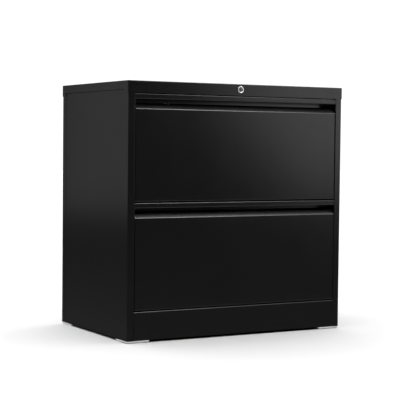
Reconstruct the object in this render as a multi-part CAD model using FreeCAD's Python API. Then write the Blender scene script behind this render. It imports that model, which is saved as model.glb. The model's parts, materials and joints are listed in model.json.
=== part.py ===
import FreeCAD, Part
import math
import os

# Sizes are in millimetres. X runs to the right, Y to the back and Z up from the floor.
# The origin is on the floor, under the middle of the whole cabinet.

# Overall
cabinet_width = 710.0
cabinet_depth = 450.0
cabinet_height = 720.0

# Sheet steel, with the inside radius of its bends
sheet = 1.0
bend = 1.0
lip_bend = 2.0

# Top panel, a tray turned over
rim_clearance = 0.5
front_rim_height = 33.5
side_rim_height = 24.0
front_rim_gap = 1.8
side_rim_gap = 1.3
rim_corner_length = 28.0
top_corner_radius = 3.0
top_edge_radius = 2.0

# Heights on the front, from the floor up
foot_height = 6.0
plinth_height = 79.5
front_gap = 4.0
finger_gap = 27.5
middle_rail_height = 14.0
header_height = 14.2

# Side and back panels
stile_width = 21.0
return_depth = 65.0
return_lip = 12.5
side_flange = 20.0
top_flange = 15.0
lid_step = 8.0
seam_inset = 26.5
seam_gap = 1.7
joggle = 1.5
tongue_length = 23.0
flange_inset = 2.5

# Base
bottom_flange = 20.0
ledge_depth = 30.0
ledge_drop = 9.0
plinth_return = 25.0
foot_length = 70.0
foot_width = 22.0
foot_radius = 3.0

# Rails above the drawers
rail_depth = 46.0
rail_hang = 10.0
rail_hem = 9.0

# Rear uprights
upright_depth = 42.5
upright_headroom = 3.0

# Drawer fronts and their pulls
side_gap = 1.5
front_thickness = 44.0
front_edge_radius = 1.5
lip_reach = 16.0
lip_turndown = 18.0
trough_depth = 22.0
trough_lap = 4.0
end_top_run = 12.0
upstand = 7.0
trough_back_drop = 8.0
liner_clearance = 0.5

# Drawer boxes
box_rise = 10.0
box_rear_space = 33.5
box_flange = 12.0
box_side_drop = 20.0
back_flange = 8.0

# File bars
bar_thickness = 4.0
bar_above = 4.0
bar_below = 8.0
bar_hook = 3.0
bar_hook_drop = 3.0
bar_clearance = 0.4
bar_seat = 0.2
bar_offset = 159.0

# Runners, each of three nested channels
runner_thickness = 12.7
runner_setback = 3.0
runner_rear_space = 19.0
runner_rise = 60.0
runner_sheet = 1.2
runner_bend = 0.6
member_height = 45.0
member_flange = 9.0
web_gap = 1.8
inner_web_gap = 1.6
tip_clearance = 1.0

# Ball cages of the runners
outer_ball_radius = 2.0
inner_ball_radius = 2.2
ball_clearance = 0.15
cage_sheet = 0.6
cage_length = 120.0
cage_start = 119.0
cage_edge = 0.6
cage_hole_clearance = 0.1
ball_pitch = 20.0
cage_end = 20.0

# Screws
screw_radius = 1.6
screw_hole_clearance = 0.1
screw_head_radius = 3.1
screw_head_height = 1.3
screw_length = 7.0
carcass_screw_count = 5
carcass_screw_margin = 60.0
runner_screw_inset = 10.0
drawer_screw_inset = 40.0

# Lock
lock_proud = 2.0
lock_flange_radius = 10.0
lock_body_radius = 8.5
lock_hole_clearance = 0.1
lock_body_length = 24.0
lock_drop = 16.0
plug_radius = 7.0
plug_clearance = 0.06
plug_overrun = 1.0
keyway_width = 2.0
keyway_height = 8.0
keyway_depth = 6.0
nut_radius = 14.0
nut_thickness = 6.0

# Lock rod, its crank, and the bar that it lifts
rod_radius = 4.0
rod_clearance = 0.06
crank_radius = 9.0
crank_rest_angle = 45.0
crank_half_width = 3.2
crank_corner = 2.8
crank_thickness = 3.0
crank_gap = 2.0
crank_pin_radius = 1.5
bar_width = 20.0
bar_sheet = 2.0
bar_setback = 13.5
bar_head = 6.5
slot_clearance = 0.6
tab_width = 10.0
tab_rise = 12.0
tab_gap = 4.0
catch_rise = 180.0
catch_sheet = 1.5
catch_depth = 15.0
catch_half_width = 16.0
catch_leg = 16.0
bar_foot = 6.0
guide_height = 20.0
guide_wall = 7.0
guide_clearance = 0.4
guide_front = 2.0
guide_offset = 50.0
bracket_half_width = 14.0
bracket_thickness = 4.0
bracket_setback = 9.0
bracket_drop = 14.0

# Places worked out from the sizes above
overhang = rim_clearance + sheet
rim_front_y = -(cabinet_depth - lock_proud) / 2
rim_back_y = rim_front_y + cabinet_depth
front_y = rim_front_y + overhang
back_y = rim_back_y - overhang
back_inner_y = back_y - sheet
body_half = cabinet_width / 2 - overhang
opening_half = body_half - stile_width
seam_y = back_y - seam_inset
top_underside = cabinet_height - sheet

front_rim_bottom = cabinet_height - front_rim_height
side_rim_bottom = cabinet_height - side_rim_height
step_z = side_rim_bottom - side_rim_gap
header_top = front_rim_bottom - front_rim_gap
header_bottom = header_top - header_height
plinth_top = foot_height + plinth_height
front_height = (header_bottom - plinth_top - 2 * front_gap - 2 * finger_gap - middle_rail_height) / 2
middle_rail_bottom = plinth_top + front_gap + front_height + finger_gap
middle_rail_top = middle_rail_bottom + middle_rail_height
drawer_bottoms = {"lower": plinth_top + front_gap, "upper": middle_rail_top + front_gap}

bottom_panel_top = plinth_top - ledge_drop
upright_half = body_half - 2 * sheet
upright_top = step_z - sheet - upright_headroom
front_half = opening_half - side_gap
box_half = opening_half - runner_thickness
box_front_y = front_y + front_thickness
box_back_y = back_inner_y - box_rear_space
runner_front_y = box_front_y + runner_setback
runner_back_y = back_inner_y - runner_rear_space

# Runner section: u is measured inwards from the face that carries it, v from its middle height
middle_web_u = runner_sheet + web_gap
middle_tip_u = runner_thickness - runner_sheet - tip_clearance
drawer_tip_u = middle_web_u + runner_sheet + inner_web_gap
cabinet_half_v = member_height / 2
outer_row_v = cabinet_half_v - runner_sheet - ball_clearance - outer_ball_radius
middle_half_v = outer_row_v - outer_ball_radius - ball_clearance
inner_row_v = middle_half_v - runner_sheet - ball_clearance - inner_ball_radius
drawer_half_v = inner_row_v - inner_ball_radius - ball_clearance
outer_ball_u = (middle_web_u + member_flange) / 2
inner_ball_u = (drawer_tip_u + middle_tip_u) / 2

# Lock line and the linkage at the back
lock_z = cabinet_height - lock_drop
lock_face_y = rim_front_y - lock_proud
barrel_back_y = rim_front_y + lock_body_length
plug_back_y = barrel_back_y + plug_overrun
bar_back_y = back_inner_y - bar_setback
bar_front_y = bar_back_y - bar_sheet
crank_back_y = bar_front_y - crank_gap
crank_front_y = crank_back_y - crank_thickness
pin_x = -crank_radius * math.cos(math.radians(crank_rest_angle))
pin_z = lock_z - crank_radius * math.sin(math.radians(crank_rest_angle))
bar_x = (pin_x - crank_radius) / 2
tab_front_y = box_back_y + sheet + catch_depth / 2
screw_hole_radius = screw_radius + screw_hole_clearance

# Allowance for rounding where directions are compared and copies counted
ROUNDING = 1e-6

NUT_SIDES = 6
AXES = {
    "x": FreeCAD.Vector(1, 0, 0),
    "y": FreeCAD.Vector(0, 1, 0),
    "z": FreeCAD.Vector(0, 0, 1),
}


def point(x, y, z):
    return FreeCAD.Vector(x, y, z)


def block(x0, x1, y0, y1, z0, z1):
    """Box between two values on each axis."""
    return Part.makeBox(x1 - x0, y1 - y0, z1 - z0, point(x0, y0, z0))


def mirrored(shape):
    """Copy on the other side of the cabinet's middle."""
    return shape.mirror(point(0, 0, 0), AXES["x"])


def on_plane(axis, flat):
    """Place in space of a point drawn on the plane across an axis."""
    if axis == "x":
        return point(0, flat.x, flat.y)
    if axis == "y":
        return point(flat.x, 0, flat.y)
    return point(flat.x, flat.y, 0)


def corner_arc(before, corner, after, radius):
    """Start, middle and end of the arc that rounds a corner."""
    back = (before - corner).normalize()
    ahead = (after - corner).normalize()
    half_angle = back.getAngle(ahead) / 2
    bisector = (back + ahead).normalize()
    reach = radius / math.tan(half_angle)
    middle = corner + bisector * (radius / math.sin(half_angle) - radius)
    return corner + back * reach, middle, corner + ahead * reach


def prism(outline, radii, axis, low, high):
    """Solid along an axis, from a closed outline whose corners have their own radii."""
    corners = [point(p, q, 0) for p, q in outline]
    count = len(corners)
    arcs = []
    for index, corner in enumerate(corners):
        if radii[index] > 0:
            arcs.append(corner_arc(corners[index - 1], corner, corners[(index + 1) % count], radii[index]))
        else:
            arcs.append((corner, corner, corner))
    edges = []
    for index, arc in enumerate(arcs):
        start, middle, end = [on_plane(axis, flat) for flat in arc]
        following = on_plane(axis, arcs[(index + 1) % count][0])
        if radii[index] > 0:
            edges.append(Part.Arc(start, middle, end).toShape())
        edges.append(Part.LineSegment(end, following).toShape())
    face = Part.Face(Part.Wire(edges))
    face.translate(AXES[axis] * low)
    return face.extrude(AXES[axis] * (high - low))


def bent_sheet(line, thickness, insides, axis, low, high):
    """Bent sheet along an axis: the line follows one of its faces, and the sheet lies on the line's left."""
    corners = [point(p, q, 0) for p, q in line]
    normals = []
    for start, end in zip(corners, corners[1:]):
        along = (end - start).normalize()
        normals.append(point(-along.y, along.x, 0))
    far_side = [corners[0] + normals[0] * thickness]
    near_radii = [0]
    far_radii = [0]
    for corner, before, after, inside in zip(corners[1:-1], normals, normals[1:], insides):
        far_side.append(corner + (before + after) * (thickness / (1 + before.dot(after))))
        turns_left = before.cross(after).z > 0
        near_radii.append(inside + thickness if turns_left else inside)
        far_radii.append(inside if turns_left else inside + thickness)
    far_side.append(corners[-1] + normals[-1] * thickness)
    near_radii.append(0)
    far_radii.append(0)
    outline = [(c.x, c.y) for c in corners] + [(c.x, c.y) for c in reversed(far_side)]
    return prism(outline, near_radii + far_radii[::-1], axis, low, high)


def joined(shapes):
    """One solid from shapes that touch or overlap."""
    return shapes[0].multiFuse(shapes[1:]).removeSplitter()


def cylinder(radius, length, start, axis):
    return Part.makeCylinder(radius, length, start, AXES[axis])


def edges_along(shape, axis):
    """Straight edges of a shape that run along an axis."""
    found = []
    for edge in shape.Edges:
        span = edge.Vertexes[-1].Point - edge.Vertexes[0].Point
        if span.Length > 0 and span.cross(AXES[axis]).Length < ROUNDING * span.Length:
            found.append(edge)
    return found


def carcass_screw_places():
    """Places of the screws that hold the back panel to the uprights."""
    low = bottom_panel_top + carcass_screw_margin
    step = (upright_top - carcass_screw_margin - low) / (carcass_screw_count - 1)
    x = (opening_half + upright_half) / 2
    return [(side * x, low + row * step) for side in (-1, 1) for row in range(carcass_screw_count)]


def runner_heights():
    return {level: bottom + runner_rise for level, bottom in drawer_bottoms.items()}


def runner_screw_places():
    """Places along Y of the screws at the front and the back of a cabinet runner."""
    return [runner_front_y + runner_screw_inset, runner_back_y - runner_screw_inset]


def drawer_screw_places():
    """Places along Y of the screws that hold a drawer runner to the drawer's side."""
    return [runner_front_y + drawer_screw_inset, box_back_y - drawer_screw_inset]


def side_holes(places, x_low, x_high, heights):
    """Cutters for screws that run sideways through a left-hand piece."""
    length = x_high - x_low
    return [cylinder(screw_hole_radius, length, point(x_low, y, z), "x") for y in places for z in heights]


def side_panel():
    """Left side: its stile turns into a deep return for the runners, and its rear and top edges step in
    under the back panel and the top."""
    outer = -body_half
    line = [
        (outer + sheet, seam_y + tongue_length),
        (outer + sheet, seam_y + joggle),
        (outer, seam_y),
        (outer, front_y),
        (-opening_half, front_y),
        (-opening_half, front_y + return_depth),
        (-opening_half - return_lip, front_y + return_depth),
    ]
    skin = bent_sheet(line, sheet, [0, 0, bend, bend, bend], "z", foot_height, top_underside)
    inner = outer + sheet
    step_x = outer + lid_step
    step_y = rim_front_y + rim_corner_length
    skin = skin.cut(block(outer, inner, step_y, seam_y, step_z, top_underside))
    shelf = block(inner, step_x, step_y, seam_y, step_z - sheet, step_z)
    seat_low = top_underside - sheet
    riser = block(step_x - sheet, step_x, step_y, seam_y, step_z, seat_low)
    corner_seat = block(inner, outer + top_flange, front_y + sheet, step_y, seat_low, top_underside)
    lid_seat = block(step_x - sheet, outer + top_flange, step_y, seam_y, seat_low, top_underside)
    base = block(inner, outer + side_flange, front_y + sheet, seam_y, foot_height, foot_height + sheet)
    hole_start = -opening_half - sheet
    holes = side_holes(runner_screw_places()[:1], hole_start, -opening_half, runner_heights().values())
    return joined([skin, shelf, riser, corner_seat, lid_seat, base]).cut(Part.makeCompound(holes))


def back_panel():
    """Back: a tray whose side flanges wrap round onto the sides."""
    flange_y = seam_y + seam_gap
    line = [(body_half, flange_y), (body_half, back_y), (-body_half, back_y), (-body_half, flange_y)]
    skin = bent_sheet(line, sheet, [bend, bend], "z", foot_height, top_underside)
    half = upright_half - flange_inset
    lid_seat = block(-half, half, back_y - top_flange, back_inner_y, top_underside - sheet, top_underside)
    base = block(-half, half, back_y - side_flange, back_inner_y, foot_height, foot_height + sheet)
    holes = [
        cylinder(screw_hole_radius, sheet, point(x, back_inner_y, z), "y")
        for x, z in carcass_screw_places()
    ]
    return joined([skin, lid_seat, base]).cut(Part.makeCompound(holes))


def tray_form(inset, corner_radius):
    """Solid of the top panel's outer or inner form, rounded at its upright corners."""
    half = cabinet_width / 2 - inset
    form = block(
        -half, half,
        rim_front_y + inset, rim_back_y - inset,
        front_rim_bottom, cabinet_height - inset,
    )
    return form.makeFillet(corner_radius, edges_along(form, "z"))


def top_panel():
    """Top: deep rims at the front, the back and the corners, shallower ones along the sides."""
    outer = tray_form(0, top_corner_radius)
    top_face = max(outer.Faces, key=lambda face: face.CenterOfMass.z)
    outer = outer.makeFillet(top_edge_radius, top_face.Edges)
    inner = tray_form(sheet, top_corner_radius - sheet)
    half = cabinet_width / 2
    side_cut = block(
        -half, -half + sheet + rim_clearance,
        rim_front_y + rim_corner_length, rim_back_y - rim_corner_length,
        front_rim_bottom, side_rim_bottom,
    )
    lock_hole = cylinder(lock_body_radius + lock_hole_clearance, sheet, point(0, rim_front_y, lock_z), "y")
    return outer.cut(Part.makeCompound([inner, side_cut, mirrored(side_cut), lock_hole]))


def bottom_panel():
    """Floor of the carcass, with flanges turned down and a tongue under the plinth's ledge."""
    low = bottom_panel_top - sheet
    behind_return = front_y + return_depth + sheet
    plate = block(-upright_half, upright_half, behind_return, back_inner_y, low, bottom_panel_top)
    ledge_back = front_y + ledge_depth - sheet
    tongue = block(-opening_half, opening_half, ledge_back, behind_return, low, bottom_panel_top)
    flange_low = low - bottom_flange
    side = block(-upright_half, -upright_half + sheet, behind_return, back_inner_y, flange_low, low)
    rear = block(-upright_half, upright_half, back_inner_y - sheet, back_inner_y, flange_low, low)
    return joined([plate, tongue, side, mirrored(side), rear])


def front_channel(line):
    """Folded channel across the front, between the returns of the two stiles."""
    return bent_sheet(line, sheet, [bend] * (len(line) - 2), "x", -opening_half, opening_half)


def plinth():
    return front_channel([
        (front_y + ledge_depth, bottom_panel_top),
        (front_y + ledge_depth, plinth_top),
        (front_y, plinth_top),
        (front_y, foot_height),
        (front_y + plinth_return, foot_height),
    ])


def rail(low, high):
    """Rail above a drawer: its back leg hangs lower than its face and shows inside the pull."""
    return front_channel([
        (front_y + rail_depth, low - rail_hang),
        (front_y + rail_depth, high),
        (front_y, high),
        (front_y, low),
        (front_y + rail_hem, low),
    ])


def rear_upright():
    """Left upright: a channel that carries the backs of the runners and takes the back panel's screws."""
    front = back_inner_y - upright_depth
    line = [
        (-upright_half, front),
        (-opening_half, front),
        (-opening_half, back_inner_y),
        (-upright_half, back_inner_y),
    ]
    channel = bent_sheet(line, sheet, [bend, bend], "z", bottom_panel_top, upright_top)
    hole_start = -opening_half - sheet
    holes = side_holes(runner_screw_places()[1:], hole_start, -opening_half, runner_heights().values())
    for x, z in carcass_screw_places():
        holes.append(cylinder(screw_hole_radius, sheet, point(x, back_inner_y - sheet, z), "y"))
    return channel.cut(Part.makeCompound(holes))


def foot(side, end):
    """Corner foot: an L of two legs under the edges of the body."""
    corner_x = side * body_half
    corner_y = front_y if end < 0 else back_y
    legs = [
        (0, 0), (foot_length, 0), (foot_length, foot_width),
        (foot_width, foot_width), (foot_width, foot_length), (0, foot_length),
    ]
    outline = [(corner_x - side * a, corner_y - end * b) for a, b in legs]
    radii = [foot_radius, foot_radius, foot_radius, 0, foot_radius, foot_radius]
    return prism(outline, radii, "z", 0, foot_height)


def runner_channel(section, height):
    """Left-hand runner member from its section, at a height, in the closed place."""
    line = [(-opening_half + u, height + v) for u, v in section]
    return bent_sheet(line, runner_sheet, [runner_bend, runner_bend], "y", runner_front_y, runner_back_y)


def cabinet_runner(height):
    section = [
        (member_flange, cabinet_half_v), (0, cabinet_half_v),
        (0, -cabinet_half_v), (member_flange, -cabinet_half_v),
    ]
    channel = runner_channel(section, height)
    holes = side_holes(runner_screw_places(), -opening_half, -opening_half + runner_sheet, [height])
    return channel.cut(Part.makeCompound(holes))


def middle_runner(height):
    return runner_channel([
        (middle_tip_u, middle_half_v), (middle_web_u, middle_half_v),
        (middle_web_u, -middle_half_v), (middle_tip_u, -middle_half_v),
    ], height)


def drawer_runner(height):
    section = [
        (drawer_tip_u, -drawer_half_v), (runner_thickness, -drawer_half_v),
        (runner_thickness, drawer_half_v), (drawer_tip_u, drawer_half_v),
    ]
    channel = runner_channel(section, height)
    inside = -box_half - runner_sheet
    holes = side_holes(drawer_screw_places(), inside, -box_half, [height])
    return channel.cut(Part.makeCompound(holes))


def ball_cages(height, web_u, row_v, ball_u, ball_radius):
    """Cages of both runners of a drawer, each a bent strip with two rows of balls in its holes."""
    start = runner_front_y + cage_start
    half = cage_sheet / 2
    tip_u = ball_u + ball_radius + cage_edge
    section = [(tip_u, row_v + half), (web_u, row_v + half), (web_u, -row_v - half), (tip_u, -row_v - half)]
    line = [(-opening_half + u, height + v) for u, v in section]
    strip = bent_sheet(line, cage_sheet, [cage_sheet / 2] * 2, "y", start, start + cage_length)
    count = int((cage_length - 2 * cage_end) / ball_pitch + ROUNDING) + 1
    first = start + (cage_length - (count - 1) * ball_pitch) / 2
    hole_radius = ball_radius + cage_hole_clearance
    balls = []
    holes = []
    for number in range(count):
        for row in (-row_v, row_v):
            centre = point(-opening_half + ball_u, first + number * ball_pitch, height + row)
            balls.append(Part.makeSphere(ball_radius, centre))
            holes.append(cylinder(hole_radius, 2 * cage_sheet, centre - AXES["z"] * cage_sheet, "z"))
    left = [strip.cut(Part.makeCompound(holes))] + balls
    return Part.makeCompound(left + [mirrored(shape) for shape in left])


def outer_ball_cages(height):
    web_u = runner_sheet + (web_gap - cage_sheet) / 2
    return ball_cages(height, web_u, outer_row_v, outer_ball_u, outer_ball_radius)


def inner_ball_cages(height):
    web_u = middle_web_u + runner_sheet + (inner_web_gap - cage_sheet) / 2
    return ball_cages(height, web_u, inner_row_v, inner_ball_u, inner_ball_radius)


def upright_rounding(low, high):
    """Cutter that rounds the right-hand upright edge of a drawer front."""
    x = front_half - front_edge_radius
    y = front_y + front_edge_radius
    waste = block(x, front_half + sheet, front_y - sheet, y, low, high)
    return waste.cut(cylinder(front_edge_radius, high - low, point(x, y, low), "z"))


def drawer_front(bottom):
    """Front skin with closed ends: its face turns back into a sloped lip, which turns down as the grip."""
    lip = bottom + front_height
    line = [
        (front_y + lip_reach, lip + lip_reach - lip_turndown),
        (front_y + lip_reach, lip + lip_reach),
        (front_y, lip),
        (front_y, bottom),
        (front_y + front_thickness, bottom),
    ]
    skin = bent_sheet(line, sheet, [bend, lip_bend, bend], "x", -front_half, front_half)
    outline = [
        (front_y, bottom),
        (front_y + front_thickness, bottom),
        (front_y + front_thickness, lip + upstand - bar_hook_drop - 2 * bar_clearance),
        (front_y + lip_reach, lip + upstand),
        (front_y + end_top_run, lip + end_top_run),
        (front_y, lip),
    ]
    radii = [bend + sheet, 0, 0, 0, 0, lip_bend + sheet]
    end = prism(outline, radii, "x", -front_half, -front_half + sheet)
    rounding = upright_rounding(bottom, lip + front_edge_radius)
    return joined([skin, end, mirrored(end)]).cut(Part.makeCompound([rounding, mirrored(rounding)]))


def pull_trough(bottom):
    """Trough behind the lip, where the fingers go."""
    lip = bottom + front_height
    front = front_y + lip_reach
    back = box_front_y - sheet
    line = [
        (front, lip + trough_lap),
        (front, lip - trough_depth),
        (back, lip - trough_depth),
        (back, lip + upstand - trough_back_drop),
    ]
    half = front_half - sheet
    return bent_sheet(line, sheet, [bend, bend], "x", -half, half)


def drawer_liner(bottom):
    """Inner wall of the drawer front; its top edge stands up for the file bars."""
    half = front_half - sheet - liner_clearance
    top = bottom + front_height + upstand
    return block(-half, half, box_front_y - sheet, box_front_y, bottom + sheet, top)


def drawer_side(bottom):
    """Left side of a drawer, flanged at the top and on the bottom plate."""
    low = bottom + box_rise + sheet
    high = bottom + front_height - box_side_drop
    line = [
        (-box_half + box_flange, high), (-box_half, high),
        (-box_half, low), (-box_half + box_flange, low),
    ]
    side = bent_sheet(line, sheet, [bend, bend], "y", box_front_y, box_back_y)
    holes = side_holes(drawer_screw_places(), -box_half, -box_half + sheet, [bottom + runner_rise])
    return side.cut(Part.makeCompound(holes))


def drawer_bottom(bottom):
    low = bottom + box_rise
    return block(-box_half, box_half, box_front_y, box_back_y, low, low + sheet)


def drawer_back(bottom):
    """Back of a drawer; its top edge stands up for the file bars."""
    low = bottom + box_rise
    line = [
        (box_back_y, bottom + front_height + upstand),
        (box_back_y, low),
        (box_back_y + sheet + back_flange, low),
    ]
    return bent_sheet(line, sheet, [bend], "x", -box_half, box_half)


def drawer_catch(bottom):
    """Bracket on the drawer's back, with a slot that the lock bar's tab rises into."""
    face = box_back_y + sheet
    low = bottom + catch_rise
    left = bar_x - catch_half_width
    right = bar_x + catch_half_width
    line = [(face, low + catch_leg), (face, low), (face + catch_depth, low)]
    bracket = bent_sheet(line, catch_sheet, [bend], "x", left, right)
    half = tab_width / 2 + slot_clearance
    slot = block(
        bar_x - half, bar_x + half,
        tab_front_y - slot_clearance, tab_front_y + bar_sheet + slot_clearance,
        low, low + catch_sheet,
    )
    return bracket.cut(slot)


def file_bar(bottom):
    """Left file bar, notched at both ends over the upstands of the liner and the drawer's back."""
    top = bottom + front_height + upstand
    front_hook = box_front_y - sheet - bar_clearance
    back_hook = box_back_y + sheet + bar_clearance
    inner_front = box_front_y + bar_clearance
    inner_back = box_back_y - bar_clearance
    seat = top + bar_seat
    outline = [
        (front_hook - bar_hook, top - bar_hook_drop), (front_hook, top - bar_hook_drop),
        (front_hook, seat), (inner_front, seat),
        (inner_front, top - bar_below), (inner_back, top - bar_below),
        (inner_back, seat), (back_hook, seat),
        (back_hook, top - bar_hook_drop), (back_hook + bar_hook, top - bar_hook_drop),
        (back_hook + bar_hook, top + bar_above), (front_hook - bar_hook, top + bar_above),
    ]
    left = -bar_offset - bar_thickness / 2
    return prism(outline, [0] * len(outline), "x", left, left + bar_thickness)


def screw(seat, axis, way):
    """Pan-head screw whose head sits on a face and whose shank runs along an axis."""
    along = AXES[axis] * way
    head = Part.makeCylinder(screw_head_radius, screw_head_height, seat - along * screw_head_height, along)
    shank = Part.makeCylinder(screw_radius, screw_length, seat, along)
    return head.fuse(shank).removeSplitter()


def carcass_screws():
    return Part.makeCompound([screw(point(x, back_y, z), "y", -1) for x, z in carcass_screw_places()])


def runner_screws():
    seat_x = -opening_half + runner_sheet
    left = []
    for height in runner_heights().values():
        left += [screw(point(seat_x, y, height), "x", -1) for y in runner_screw_places()]
    return Part.makeCompound(left + [mirrored(shape) for shape in left])


def drawer_screws(height):
    seat_x = -box_half - runner_sheet
    left = [screw(point(seat_x, y, height), "x", 1) for y in drawer_screw_places()]
    return Part.makeCompound(left + [mirrored(shape) for shape in left])


def lock_barrel():
    flange = cylinder(lock_flange_radius, lock_proud, point(0, lock_face_y, lock_z), "y")
    body = cylinder(lock_body_radius, lock_body_length, point(0, rim_front_y, lock_z), "y")
    bore_length = barrel_back_y - lock_face_y
    bore = cylinder(plug_radius + plug_clearance, bore_length, point(0, lock_face_y, lock_z), "y")
    return flange.fuse(body).cut(bore).removeSplitter()


def lock_nut():
    """Hexagon nut behind the top panel's front rim."""
    front = rim_front_y + sheet
    corners = []
    for number in range(NUT_SIDES):
        angle = 2 * math.pi * number / NUT_SIDES
        corners.append((nut_radius * math.cos(angle), lock_z + nut_radius * math.sin(angle)))
    nut = prism(corners, [0] * NUT_SIDES, "y", front, front + nut_thickness)
    hole = cylinder(lock_body_radius + lock_hole_clearance, nut_thickness, point(0, front, lock_z), "y")
    return nut.cut(hole)


def lock_plug():
    plug = cylinder(plug_radius, plug_back_y - lock_face_y, point(0, lock_face_y, lock_z), "y")
    keyway = block(
        -keyway_width / 2, keyway_width / 2,
        lock_face_y, lock_face_y + keyway_depth,
        lock_z - keyway_height / 2, lock_z + keyway_height / 2,
    )
    return plug.cut(keyway)


def lock_rod():
    """Rod from the plug to the back, with a crank whose pin lifts the lock bar."""
    shaft = cylinder(rod_radius, crank_back_y - plug_back_y, point(0, plug_back_y, lock_z), "y")
    axis_point = point(0, lock_z, 0)
    pin_point = point(pin_x, pin_z, 0)
    along = (pin_point - axis_point).normalize()
    across = point(-along.y, along.x, 0)
    corners = []
    for end, way in ((axis_point - along * crank_half_width, 1), (pin_point + along * crank_half_width, -1)):
        corners.append(end + across * (crank_half_width * way))
        corners.append(end - across * (crank_half_width * way))
    outline = [(corner.x, corner.y) for corner in corners]
    arm = prism(outline, [crank_corner] * 4, "y", crank_front_y, crank_back_y)
    pin_length = crank_gap + bar_sheet + crank_gap
    pin = cylinder(crank_pin_radius, pin_length, point(pin_x, crank_back_y, pin_z), "y")
    return joined([shaft, arm, pin])


def lock_bar():
    """Flat bar at the back that the crank lifts, with a tab below each drawer's catch."""
    half = bar_width / 2
    foot_z = drawer_bottoms["lower"] + catch_rise - tab_gap - tab_rise - bar_foot
    strip = block(bar_x - half, bar_x + half, bar_front_y, bar_back_y, foot_z, pin_z + bar_head)
    pieces = [strip]
    for bottom in drawer_bottoms.values():
        tab_top = bottom + catch_rise - tab_gap
        tab_low = tab_top - tab_rise
        left = bar_x - tab_width / 2
        right = bar_x + tab_width / 2
        line = [(bar_front_y, tab_low), (tab_front_y, tab_low), (tab_front_y, tab_top)]
        pieces.append(bent_sheet(line[::-1], bar_sheet, [bend], "x", left, right))
    slot_half = (crank_radius + pin_x) / 2 + crank_pin_radius + slot_clearance
    slot_height = crank_pin_radius + slot_clearance
    slot = block(
        bar_x - slot_half, bar_x + slot_half, bar_front_y, bar_back_y,
        pin_z - slot_height, pin_z + slot_height,
    )
    return joined(pieces).cut(slot)


def bar_guide(low):
    """Moulded guide on the back panel that the lock bar slides in."""
    half = bar_width / 2 + guide_clearance
    front = bar_front_y - guide_clearance
    solid = block(
        bar_x - half - guide_wall, bar_x + half + guide_wall,
        front - guide_front, back_inner_y, low, low + guide_height,
    )
    back = bar_back_y + guide_clearance
    return solid.cut(block(bar_x - half, bar_x + half, front, back, low, low + guide_height))


def rod_bracket():
    """Plate under the top panel that carries the back of the lock rod."""
    back = crank_front_y - bracket_setback
    front = back - bracket_thickness
    low = lock_z - bracket_drop
    plate = block(-bracket_half_width, bracket_half_width, front, back, low, top_underside)
    hole = cylinder(rod_radius + rod_clearance, bracket_thickness, point(0, front, lock_z), "y")
    return plate.cut(hole)


def lock_guides():
    places = [bottom + catch_rise + guide_offset for bottom in drawer_bottoms.values()]
    return Part.makeCompound([bar_guide(low) for low in places] + [rod_bracket()])


def cabinet_pieces():
    """Fixed pieces, by name."""
    pieces = {
        "left_side_panel": side_panel(),
        "back_panel": back_panel(),
        "top_panel": top_panel(),
        "bottom_panel": bottom_panel(),
        "plinth": plinth(),
        "header_rail": rail(header_bottom, header_top),
        "middle_rail": rail(middle_rail_bottom, middle_rail_top),
        "left_rear_upright": rear_upright(),
        "front_left_foot": foot(-1, -1),
        "front_right_foot": foot(1, -1),
        "rear_left_foot": foot(-1, 1),
        "rear_right_foot": foot(1, 1),
        "carcass_screws": carcass_screws(),
        "runner_screws": runner_screws(),
        "lock_barrel": lock_barrel(),
        "lock_nut": lock_nut(),
        "lock_guides": lock_guides(),
    }
    for level, height in runner_heights().items():
        pieces[level + "_left_cabinet_runner"] = cabinet_runner(height)
    return pieces


def drawer_pieces(level, bottom):
    """Pieces of one drawer and its runners, by name."""
    height = bottom + runner_rise
    return {
        level + "_drawer_front": drawer_front(bottom),
        level + "_pull_trough": pull_trough(bottom),
        level + "_drawer_liner": drawer_liner(bottom),
        level + "_left_drawer_side": drawer_side(bottom),
        level + "_drawer_back": drawer_back(bottom),
        level + "_drawer_bottom": drawer_bottom(bottom),
        level + "_drawer_catch": drawer_catch(bottom),
        level + "_drawer_screws": drawer_screws(height),
        level + "_left_drawer_runner": drawer_runner(height),
        level + "_left_middle_runner": middle_runner(height),
        level + "_outer_ball_cages": outer_ball_cages(height),
        level + "_inner_ball_cages": inner_ball_cages(height),
        level + "_left_file_bar": file_bar(bottom),
    }


def lock_pieces():
    return {"lock_plug": lock_plug(), "lock_rod": lock_rod(), "lock_bar": lock_bar()}


def all_pieces():
    """Every piece by name. A left-hand piece, other than a foot, also gives its right-hand twin."""
    pieces = cabinet_pieces()
    for level, bottom in drawer_bottoms.items():
        pieces.update(drawer_pieces(level, bottom))
    pieces.update(lock_pieces())
    twins = {}
    for name, shape in pieces.items():
        if "left" in name and "foot" not in name:
            twins[name.replace("left", "right")] = mirrored(shape)
    pieces.update(twins)
    return pieces


os.makedirs("parts", exist_ok=True)
for name, shape in all_pieces().items():
    shape.exportStep("parts/" + name + ".step")
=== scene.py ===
"""Looks of a lateral filing cabinet with two wide drawers: its finishes, its fittings and a plain studio."""
import json
import math

import bmesh
import bpy
from bpy.props import FloatProperty, FloatVectorProperty, PointerProperty
from mathutils import Matrix, Vector


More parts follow.
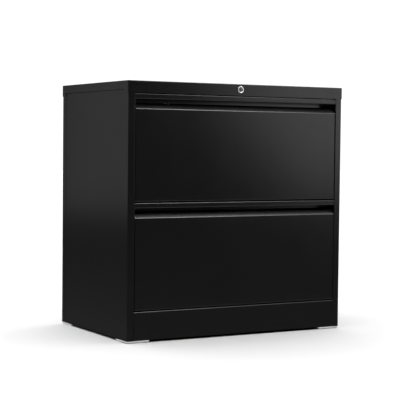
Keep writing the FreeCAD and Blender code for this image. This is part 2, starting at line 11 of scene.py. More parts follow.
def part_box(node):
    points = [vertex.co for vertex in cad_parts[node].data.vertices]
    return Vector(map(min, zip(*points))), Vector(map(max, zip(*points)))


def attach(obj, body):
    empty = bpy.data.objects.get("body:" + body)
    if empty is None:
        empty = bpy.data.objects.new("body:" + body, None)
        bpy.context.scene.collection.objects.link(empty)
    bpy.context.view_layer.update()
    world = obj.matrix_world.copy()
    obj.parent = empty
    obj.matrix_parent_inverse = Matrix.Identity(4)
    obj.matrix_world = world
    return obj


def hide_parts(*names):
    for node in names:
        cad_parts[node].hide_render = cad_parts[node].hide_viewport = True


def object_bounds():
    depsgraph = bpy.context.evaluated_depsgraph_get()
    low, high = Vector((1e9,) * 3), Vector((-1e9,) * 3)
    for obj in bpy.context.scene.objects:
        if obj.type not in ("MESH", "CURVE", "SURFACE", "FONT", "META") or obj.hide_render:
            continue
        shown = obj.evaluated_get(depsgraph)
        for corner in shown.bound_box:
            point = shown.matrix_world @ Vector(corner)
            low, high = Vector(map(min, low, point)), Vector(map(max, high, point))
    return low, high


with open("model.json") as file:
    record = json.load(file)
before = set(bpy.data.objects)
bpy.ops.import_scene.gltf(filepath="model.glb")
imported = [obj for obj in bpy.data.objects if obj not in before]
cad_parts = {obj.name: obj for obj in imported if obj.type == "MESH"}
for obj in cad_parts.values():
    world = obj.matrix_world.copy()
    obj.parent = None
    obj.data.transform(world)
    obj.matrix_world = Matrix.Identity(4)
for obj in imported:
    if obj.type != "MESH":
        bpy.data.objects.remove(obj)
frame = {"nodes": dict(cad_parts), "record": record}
CAD_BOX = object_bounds()
SLOTS = {row["node"]: row["material_slot"] for row in frame["record"]["subparts"]}

bl_info = {
    "name": "Lateral Filing Cabinet",
    "version": (1, 0, 0),
    "blender": (4, 5, 0),
    "location": "3D View > Sidebar > Cabinet",
    "description": "Finishes, fittings and a plain studio for a lateral filing cabinet",
    "category": "Object",
}

MM = 0.001
LEVELS = ("upper", "lower")
ENDS = ("front", "rear")
SIDES = ("left", "right")
SEAM = 0.01 * MM
SMOOTH_ANGLE = math.radians(35)
QUARTER_TURNS = [Matrix.Rotation(math.pi / 2 * k, 2) for k in range(4)]

# How finely round forms are divided
RING_SIDES = 48
ROUND_STEPS = 5
EASED_STEPS = 3
GLIDE_STEPS = 2
WELD_STEPS = 6

# Shares of the small fittings' own sizes
WARD_EDGE = 0.3
WARD_TIP = 0.2
WARD_ROOT = 0.35
HEAD_EDGE = 0.3
RECESS_TAPER = 0.45
WELD_SWELL = 0.08

# Widths of the marks in the finishes, and the depths of their relief
CLOUD_WIDTH = 160 * MM
HANDLING_WIDTH = 35 * MM
STREAK_WIDTH = 1.2 * MM
STREAK_DEPTH = 0.004 * MM
BLOOM_WIDTH = 20 * MM
SMEAR_WIDTH = 4 * MM
TURNING_WIDTH = 0.6 * MM
SCUFF_WIDTH = 0.8 * MM
FLOW_WIDTH = 25 * MM
SPARK_WIDTH = 0.7 * MM
SPARK_DEPTH = 0.03 * MM

# Grain in the powder coat's ripples: how many times finer it is, and the ripples' share of the relief
GRAIN_FINENESS = 5
RIPPLE_SHARE = 0.8

# How much the marks are drawn out: small numbers make them long along that axis
STREAK_STRETCH = (1, 0.03, 1)
TURNING_STRETCH = (1, 0.1, 1)
SCUFF_STRETCH = (1, 1, 0.2)

# Values of the noise over which a mark sets in
BLOOM_ONSET = (0.35, 0.7)
SMEAR_ONSET = (0.45, 0.75)
SCUFF_ONSET = (0.5, 0.75)

# Brightness of the marks, as shares of their finish, and the tint of straw in its three channels
COAT_DEEP = 0.85
COAT_LIGHT = 1.15
ZINC_BLOOM = 0.93
STRAW_TINT = (1, 0.985, 0.93)
CHROME_SMEAR = 0.94
PLUG_SCUFF = 1.6
PLASTIC_DEEP = 0.96
PLASTIC_LIGHT = 1.02

# How much the marks change the roughness
CLOUD_DULLNESS = 0.05
HANDLING_DULLNESS = 0.05
STREAK_DULLNESS = 0.16
BLOOM_DULLNESS = 0.08
SMEAR_DULLNESS = 0.06
TURNING_DULLNESS = 0.02
SCUFF_DULLNESS = 0.12
SPARK_DULLNESS = 0.1

# Roughness of the floor and of the dark card of painted shade
MATT_ROUGHNESS = 0.9

# Heights of a direction, from -1 straight down to 1 straight up, where the studio's brightness changes
SKY_EDGE = 0.5
SKY_FULL = 0.8
HORIZON = 0.0
UNDERFOOT_EDGE = -0.12
GROUND_FULL = -0.5

# Places of the inputs and the output of a Mix node that mixes colours
MIX_FACTOR = 0
MIX_FIRST = 6
MIX_SECOND = 7
MIX_RESULT = 2


def grey(value):
    return (value, value, value)


def size(name, description, millimetres):
    """Length that a user may change, given here in millimetres."""
    return FloatProperty(
        name=name, description=description, default=millimetres * MM, min=0, unit="LENGTH", precision=5,
    )


def angle(name, description, degrees):
    """Angle that a user may change, given here in degrees."""
    return FloatProperty(name=name, description=description, default=math.radians(degrees), subtype="ANGLE")


def share(name, description, default):
    """Number from 0 to 1 that a user may change."""
    return FloatProperty(name=name, description=description, default=default, min=0, max=1, subtype="FACTOR")


def strength(name, description, default):
    """Brightness that a user may change."""
    return FloatProperty(name=name, description=description, default=default, min=0)


def colour(name, description, default):
    """Colour that a user may change."""
    return FloatVectorProperty(
        name=name, description=description, default=default, min=0, max=1, subtype="COLOR",
    )


class FinishSettings(bpy.types.PropertyGroup):
    """Colours and gloss of the finishes"""
    coat_colour: colour("Coat", "Black of the powder coat", (0.0028, 0.0028, 0.0029))
    coat_roughness: share("Coat roughness", "Satin of the powder coat", 0.25)
    peel_size: size("Orange peel", "Width of the ripples in the powder coat", 1.6)
    peel_depth: size("Peel depth", "Depth of the ripples in the powder coat", 0.006)
    zinc_colour: colour("Zinc", "Colour of the bright zinc plate", (0.60, 0.61, 0.63))
    zinc_roughness: share("Zinc roughness", "Dullness of the zinc plate", 0.30)
    chrome_colour: colour("Chrome", "Colour of the chrome plate", (0.82, 0.82, 0.83))
    chrome_roughness: share("Chrome roughness", "Dullness of the chrome plate", 0.07)
    plug_colour: colour("Plug", "Colour of the lock plug's worn satin face", (0.17, 0.17, 0.175))
    plug_roughness: share("Plug roughness", "Dullness of the lock plug's face", 0.28)
    plastic_colour: colour("Plastic", "Colour of the pale plastic", (0.80, 0.80, 0.80))
    plastic_roughness: share("Plastic roughness", "Dullness of the pale plastic", 0.42)


class FittingSettings(bpy.types.PropertyGroup):
    """Sizes of the small fittings"""
    flange_depth: size("Flange depth", "Depth of the lock's flange, proud of the rim", 2.0)
    flange_flat: size("Flange flat", "Radius of the flat part of the lock's flange", 9.3)
    flange_edge: size("Flange edge", "Height of the upright edge of the lock's flange", 0.1)
    flange_throat: size("Flange throat", "Rounding of the flange where it turns in to the plug", 0.9)
    barrel_radius: size("Barrel radius", "Radius of the lock's barrel behind the flange", 8.5)
    plug_gap: size("Plug gap", "Gap round the lock's plug", 0.06)
    plug_sink: size("Plug sink", "Depth of the plug's face below the flange", 1.2)
    plug_rounding: size("Plug rounding", "Rounding of the plug's front edge", 0.5)
    keyway_width: size("Keyway width", "Width of the slot for the key", 2.3)
    keyway_height: size("Keyway height", "Height of the slot for the key", 8.0)
    keyway_depth: size("Keyway depth", "Depth of the slot for the key", 6.0)
    screw_head_height: size("Screw head height", "Height of a pan head", 1.3)
    screw_head_flat: size("Screw head flat", "Radius of the flat top of a pan head", 1.9)
    screw_shank_radius: size("Screw shank", "Radius of a screw's shank", 1.6)
    recess_reach: size("Recess reach", "Reach of each arm of a screw's cross recess", 1.55)
    recess_width: size("Recess width", "Width of each arm of a screw's cross recess", 0.75)
    recess_depth: size("Recess depth", "Depth of a screw's cross recess", 0.95)
    guide_rounding: size("Guide rounding", "Rounding of the edges of the lock bar's guides", 0.8)
    foot_rounding: size("Foot rounding", "Rounding of the edges of the feet above their glides", 0.6)
    glide_height: size("Glide height", "Height of the glide under each foot", 2.4)
    glide_inset: size("Glide inset", "Step from the foot's edge in to its glide", 3.0)
    glide_rounding: size("Glide rounding", "Rounding of the glide's lower edges", 0.5)
    weld_radius: size("Weld radius", "Radius of the weld beads behind the plinth's ends", 2.0)
    weld_ripple: size("Weld ripple", "Pitch of the ripples along a weld bead", 3.0)
    weld_margin: size("Weld margin", "Distance from a weld bead's ends to the plinth's edges", 4.0)
    sheet_thickness: size("Sheet", "Thickness of the plinth's sheet steel", 1.0)


class StudioSettings(bpy.types.PropertyGroup):
    """Camera, floor and light of the studio"""
    eye: FloatVectorProperty(
        name="Eye", description="Place of the camera", default=(-1.875, -3.305, 0.548),
        subtype="XYZ", unit="LENGTH",
    )
    yaw: angle("Yaw", "Turn of the camera to the right of +Y", 29.54)
    pitch: angle("Pitch", "Tilt of the camera above the horizon", -2.53)
    roll: angle("Roll", "Turn of the camera about its line of sight", -0.59)
    lens: FloatProperty(name="Lens", description="Focal length in millimetres", default=113.69, min=1)
    floor_size: size("Floor", "Side of the square floor", 40000)
    floor_colour: colour("Floor colour", "Colour of the pale floor", grey(0.75))
    # The dark card is painted shade: a sheet that only gloss sees, standing in for the shaded floor under the
    # cabinet
    card_margin: size("Card margin", "Reach of the dark card under the cabinet, past its sides", 12)
    card_height: size("Card height", "Height of the dark card above the floor", 0.5)
    shade_card_colour: colour("Card colour", "Colour of the dark card", grey(0.05))
    dome: strength("Dome", "Strength of the even light from all round above", 5.36)
    dome_spread: angle("Dome spread", "Angle across the even light", 136)
    dome_middle: FloatVectorProperty(
        name="Dome middle", description="Direction to the middle of the even light",
        default=(0.1, 0.3, 1.0), subtype="DIRECTION",
    )
    sky: strength("Sky", "Brightness of the soft light from above", 3.2)
    below: strength("Below", "Brightness of what the cabinet reflects below", 0.44)
    underfoot: strength("Underfoot", "Brightness added to what it reflects steeply below", 0.6)
    backdrop: strength("Backdrop", "Brightness of the white backdrop", 1.1)
    ambient: strength("Ambient", "Brightness of the room round about", 0.026)


class CabinetSettings(bpy.types.PropertyGroup):
    """All that a user may change"""
    finish: PointerProperty(type=FinishSettings)
    fitting: PointerProperty(type=FittingSettings)
    studio: PointerProperty(type=StudioSettings)


class Signal:
    """Output of a shader node, whose arithmetic adds Math nodes."""

    def __init__(self, finish, socket):
        self.finish = finish
        self.socket = socket

    def maths(self, operation, first, second):
        return self.finish.add("ShaderNodeMath", {"operation": operation}, {0: first, 1: second})

    def __add__(self, other):
        return self.maths("ADD", self, other)

    def __radd__(self, other):
        return self.maths("ADD", other, self)

    def __sub__(self, other):
        return self.maths("SUBTRACT", self, other)

    def __rsub__(self, other):
        return self.maths("SUBTRACT", other, self)

    def __mul__(self, other):
        return self.maths("MULTIPLY", self, other)

    def __rmul__(self, other):
        return self.maths("MULTIPLY", other, self)

    def swing(self, amount):
        """Swings over an amount, half of it to either side of 0, as this value goes from 0 to 1."""
        return (self - 0.5) * amount

    def between(self, low, high):
        """Runs smoothly from 0 at a low value to 1 at a high one."""
        sockets = {"Value": self, "From Min": low, "From Max": high}
        return self.finish.add("ShaderNodeMapRange", {"interpolation_type": "SMOOTHSTEP"}, sockets)

    def mix(self, first, second):
        """Colour that goes from the first to the second as this value goes from 0 to 1."""
        sockets = {MIX_FACTOR: self, MIX_FIRST: first, MIX_SECOND: second}
        return self.finish.add("ShaderNodeMix", {"data_type": "RGBA"}, sockets, MIX_RESULT)


class Finish:
    """Node tree of a material or of the world."""

    def __init__(self, owner):
        owner.use_nodes = True
        self.tree = owner.node_tree
        self.tree.nodes.clear()

    def add(self, kind, settings, sockets, output=0):
        """Adds a node and returns one of its outputs: its settings come first, then its values and links."""
        node = self.tree.nodes.new(kind)
        for name, value in settings.items():
            setattr(node, name, value)
        for name, value in sockets.items():
            if isinstance(value, Signal):
                self.tree.links.new(value.socket, node.inputs[name])
            else:
                node.inputs[name].default_value = value
        return Signal(self, node.outputs[output]) if node.outputs else None

    def place(self):
        """Place on the piece, which moves with the piece."""
        return self.add("ShaderNodeTexCoord", {}, {}, "Object")

    def stretched(self, vector, factors):
        return self.add("ShaderNodeVectorMath", {"operation": "MULTIPLY"}, {0: vector, 1: factors})

    def noise(self, vector, width, detail):
        """Soft noise with blotches of about one width, from 0 to 1."""
        sockets = {"Vector": vector, "Scale": 1 / width, "Detail": detail}
        return self.add("ShaderNodeTexNoise", {}, sockets, "Fac")

    def relief(self, height, depth):
        """Normal of a surface whose height runs from 0 to 1 over a depth."""
        sockets = {"Strength": 1.0, "Distance": depth, "Height": height}
        return self.add("ShaderNodeBump", {}, sockets, "Normal")

    def surface(self, sockets):
        shader = self.add("ShaderNodeBsdfPrincipled", {}, sockets)
        self.add("ShaderNodeOutputMaterial", {}, {"Surface": shader})


def rgba(rgb, factor=1.0):
    return tuple(channel * factor for channel in rgb) + (1.0,)


def powder_coat(finish, look):
    """Satin black powder coat: fine ripples, with a little clouding of its black and its gloss."""
    place = finish.place()
    clouds = finish.noise(place, CLOUD_WIDTH, detail=3)
    handling = finish.noise(place, HANDLING_WIDTH, detail=4)
    ripples = finish.noise(place, look.peel_size, detail=1)
    grain = finish.noise(place, look.peel_size / GRAIN_FINENESS, detail=2)
    deep = rgba(look.coat_colour, COAT_DEEP)
    light = rgba(look.coat_colour, COAT_LIGHT)
    finish.surface({
        "Base Color": clouds.mix(deep, light),
        "Roughness": look.coat_roughness + clouds.swing(CLOUD_DULLNESS) + handling.swing(HANDLING_DULLNESS),
        "Normal": finish.relief(ripples * RIPPLE_SHARE + grain * (1 - RIPPLE_SHARE), look.peel_depth),
    })


def zinc_plate(finish, look):
    """Bright zinc plate: rolling streaks along the strip and a faint cast of blue and straw."""
    place = finish.place()
    streaks = finish.noise(finish.stretched(place, STREAK_STRETCH), STREAK_WIDTH, detail=3)
    bloom = finish.noise(place, BLOOM_WIDTH, detail=3)
    cool = rgba(look.zinc_colour)
    straw = rgba([channel * tint for channel, tint in zip(look.zinc_colour, STRAW_TINT)], ZINC_BLOOM)
    finish.surface({
        "Base Color": bloom.between(*BLOOM_ONSET).mix(cool, straw),
        "Metallic": 1.0,
        "Roughness": look.zinc_roughness + streaks.swing(STREAK_DULLNESS) + bloom.swing(BLOOM_DULLNESS),
        "Normal": finish.relief(streaks, STREAK_DEPTH),
    })


def chrome_plate(finish, look):
    """Polished chrome plate with faint turning marks and smears."""
    place = finish.place()
    smears = finish.noise(place, SMEAR_WIDTH, detail=4)
    turning = finish.noise(finish.stretched(place, TURNING_STRETCH), TURNING_WIDTH, detail=2)
    finish.surface({
        "Base Color": smears.mix(rgba(look.chrome_colour), rgba(look.chrome_colour, CHROME_SMEAR)),
        "Metallic": 1.0,
        "Roughness": (
            look.chrome_roughness
            + smears.between(*SMEAR_ONSET) * SMEAR_DULLNESS
            + turning * TURNING_DULLNESS
        ),
    })


def plug_satin(finish, look):
    """Worn satin face of the lock's plug: dull grey metal, scuffed brighter by the key."""
    place = finish.place()
    scratches = finish.noise(finish.stretched(place, SCUFF_STRETCH), SCUFF_WIDTH, detail=3)
    scuffs = scratches.between(*SCUFF_ONSET)
    finish.surface({
        "Base Color": scuffs.mix(rgba(look.plug_colour), rgba(look.plug_colour, PLUG_SCUFF)),
        "Metallic": 1.0,
        "Roughness": look.plug_roughness + scuffs * SCUFF_DULLNESS,
    })


def pale_plastic(finish, look):
    """Pale moulded plastic with a fine spark-eroded grain."""
    place = finish.place()
    flow = finish.noise(place, FLOW_WIDTH, detail=2)
    grain = finish.noise(place, SPARK_WIDTH, detail=2)
    deep = rgba(look.plastic_colour, PLASTIC_DEEP)
    light = rgba(look.plastic_colour, PLASTIC_LIGHT)
    finish.surface({
        "Base Color": flow.mix(deep, light),
        "Roughness": look.plastic_roughness + grain.swing(SPARK_DULLNESS),
        "Normal": finish.relief(grain, SPARK_DEPTH),
    })


FINISHES = {
    "black_powder_coat": powder_coat,
    "zinc_plate": zinc_plate,
    "chrome_plate": chrome_plate,
    "plug_satin": plug_satin,
    "pale_plastic": pale_plastic,
}


def finish_of(slot):
    """Material of a finish, made once."""
    name = "finish_" + slot
    material = bpy.data.materials.get(name)
    if material is None:
        material = bpy.data.materials.new(name)
        FINISHES[slot](Finish(material), bpy.context.scene.filing_cabinet.finish)
    return material


def finish_nodes(slot):
    """Gives a slot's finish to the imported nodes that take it."""
    for node, node_slot in SLOTS.items():
        if node_slot == slot:
            frame["nodes"][node].material_slots[0].material = finish_of(slot)


class CABINET_OT_coat_sheet_steel(bpy.types.Operator):
    """Powder-coat the carcass and the drawers"""
    bl_idname = "filing_cabinet.coat_sheet_steel"
    bl_label = "Coated Sheet Steel"

    def execute(self, context):
        finish_nodes("black_powder_coat")
        return {"FINISHED"}


class CABINET_OT_plate_runners(bpy.types.Operator):
    """Zinc-plate the runners, the file bars and the inner parts of the lock"""
    bl_idname = "filing_cabinet.plate_runners"
    bl_label = "Plated Runners and Bars"

    def execute(self, context):
        finish_nodes("zinc_plate")
        return {"FINISHED"}


def add_piece(name, shape, slot, body, *nodes, finish=None):
    """Makes a piece of a mesh in the cabinet's frame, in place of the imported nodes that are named, if any."""
    bmesh.ops.recalc_face_normals(shape, faces=shape.faces)
    mesh = bpy.data.meshes.new(name)
    shape.to_mesh(mesh)
    shape.free()
    mesh.shade_smooth()
    mesh.set_sharp_from_angle(angle=SMOOTH_ANGLE)
    mesh.materials.append(finish_of(finish or slot))
    piece = bpy.data.objects.new(name, mesh)
    bpy.context.scene.collection.objects.link(piece)
    even = piece.modifiers.new("even_shading", "WEIGHTED_NORMAL")
    even.keep_sharp = True
    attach(piece, body)
    if nodes:
        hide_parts(*nodes)


def wall(shape, first, second):
    """Faces between two closed rows of as many vertices."""
    for k in range(len(first)):
        shape.faces.new((first[k - 1], first[k], second[k], second[k - 1]))


def turned(shape, place, profile):
    """Rings about an axis, through the radii and heights of a profile, with walls between them."""
    turns = [2 * math.pi * k / RING_SIDES for k in range(RING_SIDES)]
    rings = []
    for radius, height in profile:
        corners = [Vector((radius * math.cos(turn), radius * math.sin(turn), height)) for turn in turns]
        rings.append([shape.verts.new(place @ corner) for corner in corners])
    for first, second in zip(rings, rings[1:]):
        wall(shape, first, second)
    return rings


def rounded(start, end):
    """Profile points of a quarter round that leaves the start level and reaches the end upright."""
    turns = [math.pi / 2 * k / ROUND_STEPS for k in range(ROUND_STEPS + 1)]
    return [
        (start[0] + (end[0] - start[0]) * math.sin(turn), end[1] + (start[1] - end[1]) * math.cos(turn))
        for turn in turns
    ]


def sunk(shape, place, rim, level, outline, depth, taper=1.0):
    """Closes a ring with a flat face into which an outline is sunk."""
    mouth = [shape.verts.new(place @ Vector((x, y, level))) for x, y in outline]
    floor = [shape.verts.new(place @ Vector((x * taper, y * taper, level - depth))) for x, y in outline]
    wall(shape, mouth, floor)
    shape.faces.new(floor)
    edges = [shape.edges.get((row[k - 1], row[k])) for row in (rim, mouth) for k in range(len(row))]
    bmesh.ops.triangle_fill(shape, use_beauty=True, edges=edges)


def shape_of(node):
    """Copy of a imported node's mesh, sewn together."""
    shape = bmesh.new()
    shape.from_mesh(frame["nodes"][node].data)
    bmesh.ops.remove_doubles(shape, verts=shape.verts, dist=SEAM)
    return shape


def solids_of(node):
    """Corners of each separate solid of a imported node."""
    shape = shape_of(node)
    solids = []
    for first in shape.verts:
        if first.tag:
            continue
        first.tag = True
        reached = [first]
        for vertex in reached:
            for edge in vertex.link_edges:
                other = edge.other_vert(vertex)
                if not other.tag:
                    other.tag = True
                    reached.append(other)
        solids.append([vertex.co.copy() for vertex in reached])
    shape.free()
    return solids


def box_of(corners):
    low = Vector([min(corner[k] for corner in corners) for k in range(3)])
    high = Vector([max(corner[k] for corner in corners) for k in range(3)])
    return low, high


def facing(point, direction):
    """Turn and place that put a piece's own Z axis along a direction at a point."""
    return Matrix.Translation(point) @ direction.to_track_quat("Z", "Y").to_matrix().to_4x4()


class CABINET_OT_add_lock(bpy.types.Operator):
    """Add the lock's polished bezel and its plug with a keyway"""
    bl_idname = "filing_cabinet.add_lock"
    bl_label = "Lock"

    def execute(self, context):
        fitting = context.scene.filing_cabinet.fitting
        finish_nodes("chrome_plate")
        self.add_bezel(fitting)
        self.add_plug(fitting)
        return {"FINISHED"}

    def front_of(self, node):
        """Turn and place of a round node's front, with its radius and length."""
        low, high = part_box(node)
        middle = (low + high) / 2
        place = facing(Vector((middle.x, low.y, middle.z)), Vector((0, -1, 0)))
        return place, (high.x - low.x) / 2, high.y - low.y

    def add_bezel(self, fitting):
        """Flange with a rounded edge and throat, and the barrel behind it, bored for the plug."""
        place, radius, length = self.front_of("lock_barrel")
        bore = self.front_of("lock_plug")[1] + fitting.plug_gap
        throat = fitting.flange_throat
        rim = -fitting.flange_depth
        profile = [(bore, -length)]
        profile += reversed(rounded((bore + throat, 0), (bore, -throat)))
        profile += rounded((fitting.flange_flat, 0), (radius, rim + fitting.flange_edge))
        profile += [(radius, rim), (fitting.barrel_radius, rim), (fitting.barrel_radius, -length)]
        shape = bmesh.new()
        rings = turned(shape, place, profile)
        wall(shape, rings[-1], rings[0])
        add_piece("lock_bezel", shape, "chrome_plate", "cabinet", "lock_barrel")

    def add_plug(self, fitting):
        """Plug whose face lies below the flange, with a slot for the key that one ward narrows."""
        place, radius, length = self.front_of("lock_plug")
        level = -fitting.plug_sink
        start = (radius - fitting.plug_rounding, level)
        end = (radius, level - fitting.plug_rounding)
        shape = bmesh.new()
        rings = turned(shape, place, rounded(start, end) + [(radius, -length)])
        shape.faces.new(rings[-1])
        across = fitting.keyway_width / 2
        up = fitting.keyway_height / 2
        ward = across * WARD_EDGE
        outline = [
            (-across, -up), (across, -up), (across, -up * WARD_ROOT), (ward, -up * WARD_TIP),
            (ward, up * WARD_TIP), (across, up * WARD_ROOT), (across, up), (-across, up),
        ]
        sunk(shape, place, rings[0], level, outline, fitting.keyway_depth)
        add_piece("lock_plug_face", shape, "chrome_plate", "lock", "lock_plug", finish="plug_satin")


class CABINET_OT_add_screws(bpy.types.Operator):
    """Add pan-head screws with a cross recess"""
    bl_idname = "filing_cabinet.add_screws"
    bl_label = "Screws"

    def execute(self, context):
        fitting = context.scene.filing_cabinet.fitting
        self.add_group(fitting, "carcass_screws", "cabinet")
        self.add_group(fitting, "runner_screws", "cabinet")
        for level in LEVELS:
            self.add_group(fitting, level + "_drawer_screws", level + "_drawer")
        return {"FINISHED"}

    def add_group(self, fitting, node, body):
        shape = bmesh.new()
        for corners in solids_of(node):
            self.add_screw(shape, fitting, corners)
        add_piece("cross_recess_" + node, shape, SLOTS[node], body, node)

    def add_screw(self, shape, fitting, corners):
        """One screw in the place of a packed one, which gives its axis, its length and its head's radius."""
        low, high = box_of(corners)
        spans = high - low
        axis = max(range(3), key=lambda k: spans[k])
        radius = min(spans) / 2
        middle = (low + high) / 2

        def reach(end):
            at_end = [corner for corner in corners if abs(corner[axis] - end) < SEAM]
            return max((corner - middle).length_squared for corner in at_end)

        direction = Vector((0, 0, 0))
        direction[axis] = 1 if reach(high[axis]) > reach(low[axis]) else -1
        top = spans[axis]
        place = facing(middle - direction * (top / 2), direction)
        seat = top - fitting.screw_head_height
        edge = (radius, seat + fitting.screw_head_height * HEAD_EDGE)
        shank = fitting.screw_shank_radius
        profile = rounded((fitting.screw_head_flat, top), edge) + [(radius, seat), (shank, seat), (shank, 0)]
        rings = turned(shape, place, profile)
        shape.faces.new(rings[-1])
        far = fitting.recess_reach
        near = fitting.recess_width / 2
        arm = [(far, -near), (far, near), (near, near)]
        outline = [turn @ Vector(point) for turn in QUARTER_TURNS for point in arm]
        sunk(shape, place, rings[0], top, outline, fitting.recess_depth, RECESS_TAPER)


def ease(shape, edges, offset, segments):
    """Takes the sharpness off those of some edges that point outwards."""
    sharp = [edge for edge in edges if edge.calc_face_angle_signed(0) > SMOOTH_ANGLE]
    bmesh.ops.bevel(shape, geom=sharp, offset=offset, segments=segments, profile=0.5, affect="EDGES")


def is_level(item, level):
    """Whether all corners of an edge or a face lie at one height."""
    return all(abs(vertex.co.z - level) < SEAM for vertex in item.verts)


class CABINET_OT_add_guides(bpy.types.Operator):
    """Add the moulded guides of the lock bar"""
    bl_idname = "filing_cabinet.add_guides"
    bl_label = "Lock Bar Guides"

    def execute(self, context):
        shape = shape_of("lock_guides")
        ease(shape, shape.edges, context.scene.filing_cabinet.fitting.guide_rounding, EASED_STEPS)
        add_piece("lock_guide_mouldings", shape, "pale_plastic", "cabinet", "lock_guides")
        return {"FINISHED"}


class CABINET_OT_add_feet(bpy.types.Operator):
    """Add the four moulded corner feet, each with a glide under it"""
    bl_idname = "filing_cabinet.add_feet"
    bl_label = "Feet"

    def execute(self, context):
        fitting = context.scene.filing_cabinet.fitting
        for end in ENDS:
            for side in SIDES:
                self.add_foot(fitting, f"{end}_{side}_foot")
        return {"FINISHED"}

    def add_foot(self, fitting, node):
        shape = shape_of(node)
        low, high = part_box(node)
        self.step_in(shape, low.z, fitting)
        for level in (high.z, low.z + fitting.glide_height):
            self.ease_level(shape, level, fitting.foot_rounding, EASED_STEPS)
        self.ease_level(shape, low.z, fitting.glide_rounding, GLIDE_STEPS)
        add_piece(node + "_moulding", shape, "pale_plastic", "cabinet", node)

    def ease_level(self, shape, level, offset, segments):
        ease(shape, [edge for edge in shape.edges if is_level(edge, level)], offset, segments)

    def step_in(self, shape, level, fitting):
        """Raises the foot's lower face and sets a smaller glide under it."""
        lift = Vector((0, 0, fitting.glide_height))
        sole = [face for face in shape.faces if is_level(face, level)]
        sole = bmesh.ops.dissolve_faces(shape, faces=sole)["region"]
        rim = list({vertex for face in sole for vertex in face.verts})
        bmesh.ops.translate(shape, verts=rim, vec=lift)
        bmesh.ops.inset_region(shape, faces=sole, thickness=fitting.glide_inset)
        glide = bmesh.ops.extrude_face_region(shape, geom=sole)["geom"]
        tread = [item for item in glide if isinstance(item, bmesh.types.BMVert)]
        bmesh.ops.translate(shape, verts=tread, vec=-lift)
        bmesh.ops.delete(shape, geom=sole, context="FACES")


class CABINET_OT_add_welds(bpy.types.Operator):
    """Add the weld beads that join the plinth to the sides, inside its ends"""
    bl_idname = "filing_cabinet.add_welds"
    bl_label = "Plinth Welds"

    def execute(self, context):
        fitting = context.scene.filing_cabinet.fitting
        left_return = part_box("left_side_panel")[1].x
        right_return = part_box("right_side_panel")[0].x
        self.add_bead(fitting, "left_plinth_weld", left_return, 1)
        self.add_bead(fitting, "right_plinth_weld", right_return, -1)
        return {"FINISHED"}

    def add_bead(self, fitting, name, x, way):
        """Rippled quarter round in the upright corner at x, towards the middle of the cabinet."""
        low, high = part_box("plinth")
        y = low.y + fitting.sheet_thickness
        bottom = low.z + fitting.weld_margin
        length = high.z - fitting.weld_margin - bottom
        steps = round(length / fitting.weld_ripple) * WELD_STEPS
        shape = bmesh.new()
        rings = []
        for step in range(steps + 1):
            swell = 1 - WELD_SWELL + WELD_SWELL * math.cos(2 * math.pi * step / WELD_STEPS)
            radius = fitting.weld_radius * swell
            outline = [(0, 0)] + rounded((0, radius), (radius, 0))
            z = bottom + length * step / steps
            rings.append([shape.verts.new((x + way * across, y + back, z)) for across, back in outline])
        for first, second in zip(rings, rings[1:]):
            wall(shape, first, second)
        shape.faces.new(rings[0])
        shape.faces.new(rings[-1])
        add_piece(name, shape, "black_powder_coat", "cabinet")


def camera_matrix(studio):
    """Turn and place of the camera, from its yaw, pitch and roll."""
    forward = Vector((
        math.sin(studio.yaw) * math.cos(studio.pitch),
        math.cos(studio.yaw) * math.cos(studio.pitch),
        math.sin(studio.pitch),
    ))
    right = Vector((math.cos(studio.yaw), -math.sin(studio.yaw), 0))
    up = right.cross(forward)
    rolled_right = right * math.cos(studio.roll) - up * math.sin(studio.roll)
    rolled_up = right * math.sin(studio.roll) + up * math.cos(studio.roll)
    turn = Matrix((rolled_right, rolled_up, -forward)).transposed()
    return Matrix.Translation(studio.eye) @ turn.to_4x4()


def softbox(name, place, target, width, height, radiance, roll=0):
    """Rectangular soft light that faces a target, rolled by some degrees, and shows in gloss alone."""
    data = bpy.data.lights.new(name, "AREA")
    data.shape = "RECTANGLE"
    data.size = width
    data.size_y = height
    data.energy = radiance * math.pi * width * height
    light = bpy.data.objects.new(name, data)
    aim = (Vector(target) - Vector(place)).to_track_quat("-Z", "Y").to_matrix()
    rolled = aim @ Matrix.Rotation(math.radians(roll), 3, "Z")
    light.matrix_world = Matrix.Translation(place) @ rolled.to_4x4()
    light.visible_camera = False
    light.visible_diffuse = False
    bpy.context.scene.collection.objects.link(light)


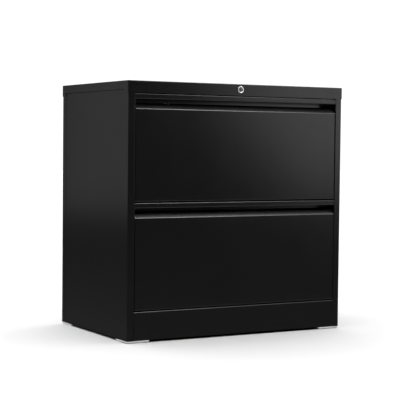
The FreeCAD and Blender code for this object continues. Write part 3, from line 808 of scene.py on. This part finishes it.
class CABINET_OT_build_studio(bpy.types.Operator):
    """Add the floor, the soft lights and the camera"""
    bl_idname = "filing_cabinet.build_studio"
    bl_label = "Studio"

    def execute(self, context):
        scene = context.scene
        studio = scene.filing_cabinet.studio
        self.add_floor(scene, studio)
        self.add_card(scene, studio)
        self.add_sky(scene, studio)
        self.add_dome(scene, studio)
        self.add_softboxes()
        self.add_camera(scene, studio)
        scene.view_settings.view_transform = "Standard"
        return {"FINISHED"}

    def level_sheet(self, scene, name, low, high, tint):
        """Matt level sheet of the stage between two corners."""
        mesh = bpy.data.meshes.new(name)
        outline = [(low.x, low.y), (high.x, low.y), (high.x, high.y), (low.x, high.y)]
        mesh.from_pydata([(x, y, low.z) for x, y in outline], [], [range(len(outline))])
        material = bpy.data.materials.new("matt_" + name)
        matt = {"Base Color": rgba(tint), "Roughness": MATT_ROUGHNESS, "Specular IOR Level": 0.0}
        Finish(material).surface(matt)
        mesh.materials.append(material)
        sheet = bpy.data.objects.new(name, mesh)
        scene.collection.objects.link(sheet)
        return sheet

    def add_floor(self, scene, studio):
        half = Vector((studio.floor_size, studio.floor_size, 0)) / 2
        floor = self.level_sheet(scene, "floor", -half, half, studio.floor_colour)
        floor.visible_glossy = False

    def add_card(self, scene, studio):
        """Dark card of painted shade: the lowest bends reflect it in place of the lit floor, as they would the
        floor's shade there.
        """
        low, high = CAD_BOX
        margin = Vector((studio.card_margin, studio.card_margin, 0))
        low = Vector((low[0], low[1], studio.card_height)) - margin
        high = Vector((high[0], high[1], studio.card_height)) + margin
        card = self.level_sheet(scene, "shade_card", low, high, studio.shade_card_colour)
        card.visible_camera = False
        card.visible_diffuse = False
        card.visible_shadow = False

    def add_sky(self, scene, studio):
        """White to the camera; to the cabinet it is bright overhead, dim round about and soft grey below."""
        scene.world = bpy.data.worlds.new("studio")
        scene.world.cycles_visibility.diffuse = False
        finish = Finish(scene.world)
        direction = finish.add("ShaderNodeTexCoord", {}, {}, "Generated")
        height = finish.add("ShaderNodeSeparateXYZ", {}, {0: direction}, "Z")
        overhead = height.between(SKY_EDGE, SKY_FULL) * studio.sky
        ground = height.between(HORIZON, GROUND_FULL) * studio.below
        underfoot = height.between(UNDERFOOT_EDGE, GROUND_FULL) * studio.underfoot
        brightness = overhead + (ground + underfoot) + studio.ambient
        white = {"Color": rgba(grey(1.0)), "Strength": studio.backdrop}
        lit = finish.add("ShaderNodeBackground", {}, {"Strength": brightness})
        backdrop = finish.add("ShaderNodeBackground", {}, white)
        seen = finish.add("ShaderNodeLightPath", {}, {}, "Is Camera Ray")
        shown = finish.add("ShaderNodeMixShader", {}, {0: seen, 1: lit, 2: backdrop})
        finish.add("ShaderNodeOutputWorld", {}, {"Surface": shown})

    def add_dome(self, scene, studio):
        """Even light from all round above, for matt surfaces alone."""
        data = bpy.data.lights.new("dome", "SUN")
        data.angle = studio.dome_spread
        data.energy = studio.dome
        dome = bpy.data.objects.new("dome", data)
        dome.matrix_world = studio.dome_middle.to_track_quat("Z", "Y").to_matrix().to_4x4()
        dome.visible_glossy = False
        scene.collection.objects.link(dome)

    def add_softboxes(self):
        """Soft lights for the gloss on every side, placed in metres from the floor under the middle."""
        softbox(
            "right_softbox", place=(1.41, -1.41, 1.0), target=(0, 0, 1.0),
            width=1.3, height=0.8, radiance=1.35, roll=40,
        )
        softbox(
            "low_right_softbox", place=(1.75, -0.95, 0.3), target=(0, 0, 0.3),
            width=0.6, height=0.5, radiance=1.2,
        )
        softbox(
            "back_left_softbox", place=(-1.29, 1.53, 0.75), target=(0, 0, 0.75),
            width=0.8, height=1.0, radiance=0.29,
        )
        softbox(
            "overhead_softbox", place=(0.82, -1.19, 2.05), target=(0, -0.22, 0.64),
            width=0.7, height=1.1, radiance=11.0,
        )
        softbox(
            "back_right_softbox", place=(2.3, 1.9, 1.1), target=(0, 0, 0.5),
            width=1.6, height=1.4, radiance=0.7,
        )
        softbox(
            "back_high_softbox", place=(0.5, 2.8, 2.3), target=(0, 0, 0.7),
            width=2.4, height=1.2, radiance=0.8,
        )
        softbox(
            "front_left_softbox", place=(-2.6, -1.6, 1.2), target=(0, 0, 0.4),
            width=1.2, height=1.4, radiance=0.5,
        )

    def add_camera(self, scene, studio):
        data = bpy.data.cameras.new("camera")
        data.lens = studio.lens
        camera = bpy.data.objects.new("camera", data)
        camera.matrix_world = camera_matrix(studio)
        scene.collection.objects.link(camera)
        scene.camera = camera


OPERATORS = (
    CABINET_OT_coat_sheet_steel,
    CABINET_OT_plate_runners,
    CABINET_OT_add_lock,
    CABINET_OT_add_screws,
    CABINET_OT_add_guides,
    CABINET_OT_add_feet,
    CABINET_OT_add_welds,
    CABINET_OT_build_studio,
)


class CABINET_PT_sidebar(bpy.types.Panel):
    """Operators and settings of the filing cabinet"""
    bl_idname = "CABINET_PT_sidebar"
    bl_label = "Filing Cabinet"
    bl_space_type = "VIEW_3D"
    bl_region_type = "UI"
    bl_category = "Cabinet"

    def draw(self, context):
        for operator in OPERATORS:
            self.layout.operator(operator.bl_idname)
        cabinet = context.scene.filing_cabinet
        for group in (cabinet.finish, cabinet.fitting, cabinet.studio):
            for name in group.__annotations__:
                self.layout.prop(group, name)


SETTINGS = (FinishSettings, FittingSettings, StudioSettings, CabinetSettings)
CLASSES = SETTINGS + OPERATORS + (CABINET_PT_sidebar,)


def register():
    for cls in CLASSES:
        bpy.utils.register_class(cls)
    bpy.types.Scene.filing_cabinet = PointerProperty(type=CabinetSettings)


def unregister():
    del bpy.types.Scene.filing_cabinet
    for cls in reversed(CLASSES):
        bpy.utils.unregister_class(cls)


def main():
    register()
    for operator in OPERATORS:
        group, name = operator.bl_idname.split(".")
        getattr(getattr(bpy.ops, group), name)()


if __name__ == "__main__":
    main()
